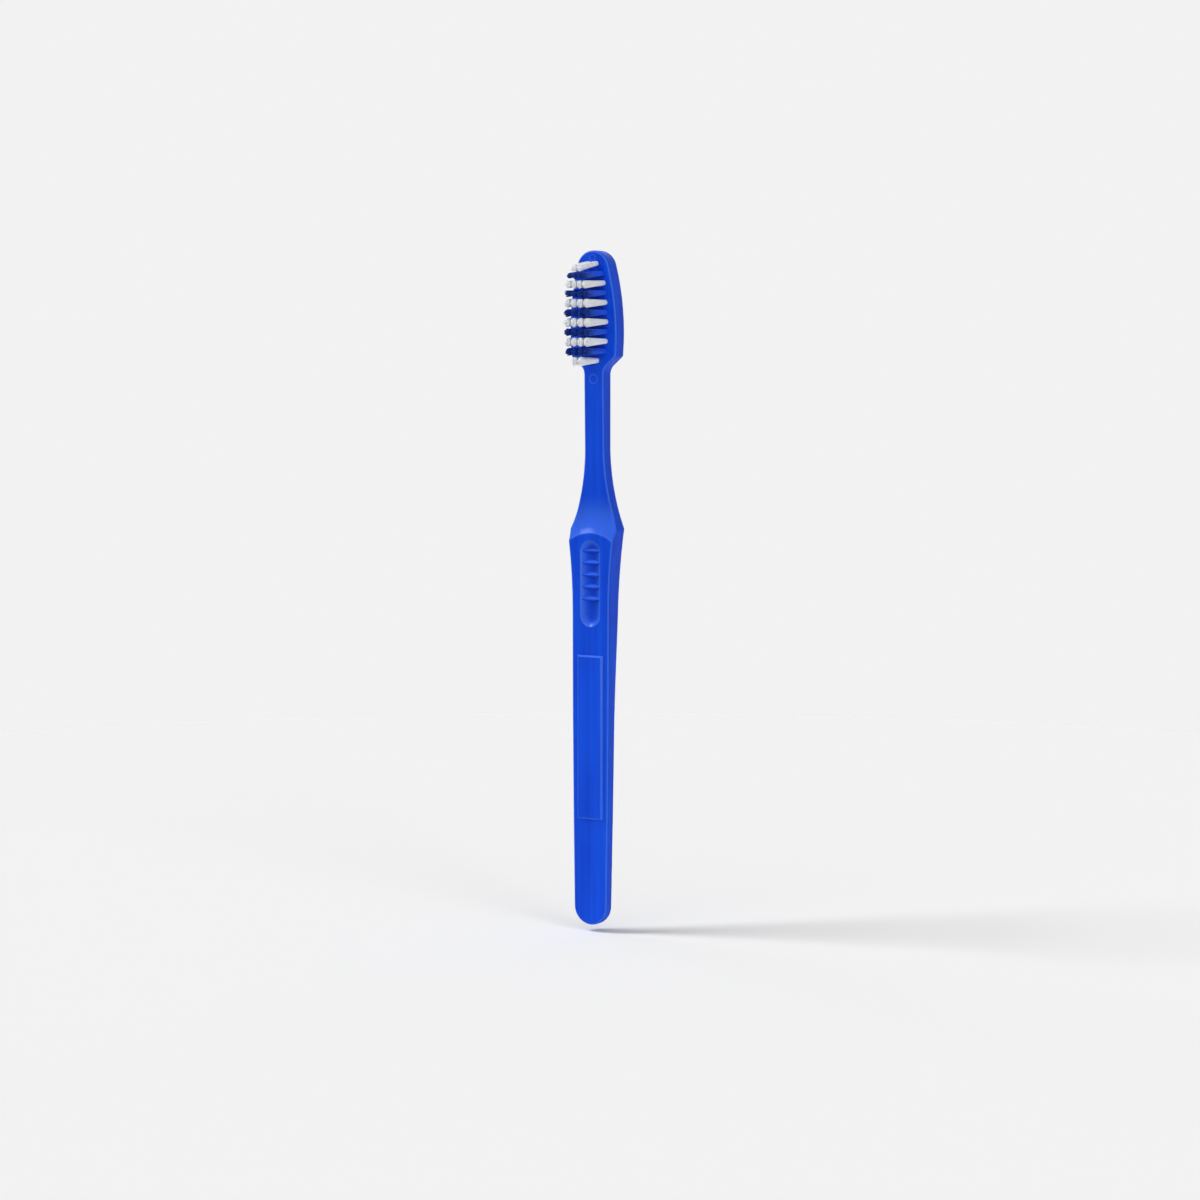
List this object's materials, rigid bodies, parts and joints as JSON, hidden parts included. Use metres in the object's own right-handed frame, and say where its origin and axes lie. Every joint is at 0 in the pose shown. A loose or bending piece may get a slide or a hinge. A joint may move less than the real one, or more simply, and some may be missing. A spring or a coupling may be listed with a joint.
{
  "type": "manual toothbrush",
  "caption": "Slim manual toothbrush: one moulded handle with a ribbed thumb recess, a raised pad and a flared shoulder, and a flat-cut head of white and blue tufts.",
  "frame": {"origin": "lowest point of the rounded butt end, midway through its thickness", "axes": "+Z from the butt end to the toe of the head, -Y the way the bristles point, +X to the right when the bristles face the viewer"},
  "size_m": [0.0136, 0.0138, 0.17],
  "materials": {
    "tinted_blue_plastic": "clear-tinted blue, polished mould finish",
    "white_nylon": "white nylon filaments, satin",
    "blue_nylon": "blue nylon filaments, satin",
    "brass_wire": "plain drawn flat wire"
  },
  "bodies": {
    "root": {"blue_tuft_row02_inner_left": "blue_nylon", "blue_tuft_row02_inner_right": "blue_nylon", "blue_tuft_row02_outer_left": "blue_nylon", "blue_tuft_row02_outer_right": "blue_nylon", "blue_tuft_row04_inner_left": "blue_nylon", "blue_tuft_row04_inner_right": "blue_nylon", "blue_tuft_row04_outer_left": "blue_nylon", "blue_tuft_row04_outer_right": "blue_nylon", "blue_tuft_row06_inner_left": "blue_nylon", "blue_tuft_row06_inner_right": "blue_nylon", "blue_tuft_row06_outer_left": "blue_nylon", "blue_tuft_row06_outer_right": "blue_nylon", "blue_tuft_row08_inner_left": "blue_nylon", "blue_tuft_row08_inner_right": "blue_nylon", "blue_tuft_row08_outer_left": "blue_nylon", "blue_tuft_row08_outer_right": "blue_nylon", "blue_tuft_row10_inner_left": "blue_nylon", "blue_tuft_row10_inner_right": "blue_nylon", "blue_tuft_row10_outer_left": "blue_nylon", "blue_tuft_row10_outer_right": "blue_nylon", "handle": "tinted_blue_plastic", "tuft_anchors": "brass_wire", "white_tuft_row01_inner_left": "white_nylon", "white_tuft_row01_inner_right": "white_nylon", "white_tuft_row03_inner_left": "white_nylon", "white_tuft_row03_inner_right": "white_nylon", "white_tuft_row03_outer_left": "white_nylon", "white_tuft_row03_outer_right": "white_nylon", "white_tuft_row05_inner_left": "white_nylon", "white_tuft_row05_inner_right": "white_nylon", "white_tuft_row05_outer_left": "white_nylon", "white_tuft_row05_outer_right": "white_nylon", "white_tuft_row07_inner_left": "white_nylon", "white_tuft_row07_inner_right": "white_nylon", "white_tuft_row07_outer_left": "white_nylon", "white_tuft_row07_outer_right": "white_nylon", "white_tuft_row09_inner_left": "white_nylon", "white_tuft_row09_inner_right": "white_nylon", "white_tuft_row09_outer_left": "white_nylon", "white_tuft_row09_outer_right": "white_nylon", "white_tuft_row11_inner_left": "white_nylon", "white_tuft_row11_inner_right": "white_nylon"}
  },
  "joints": []
}
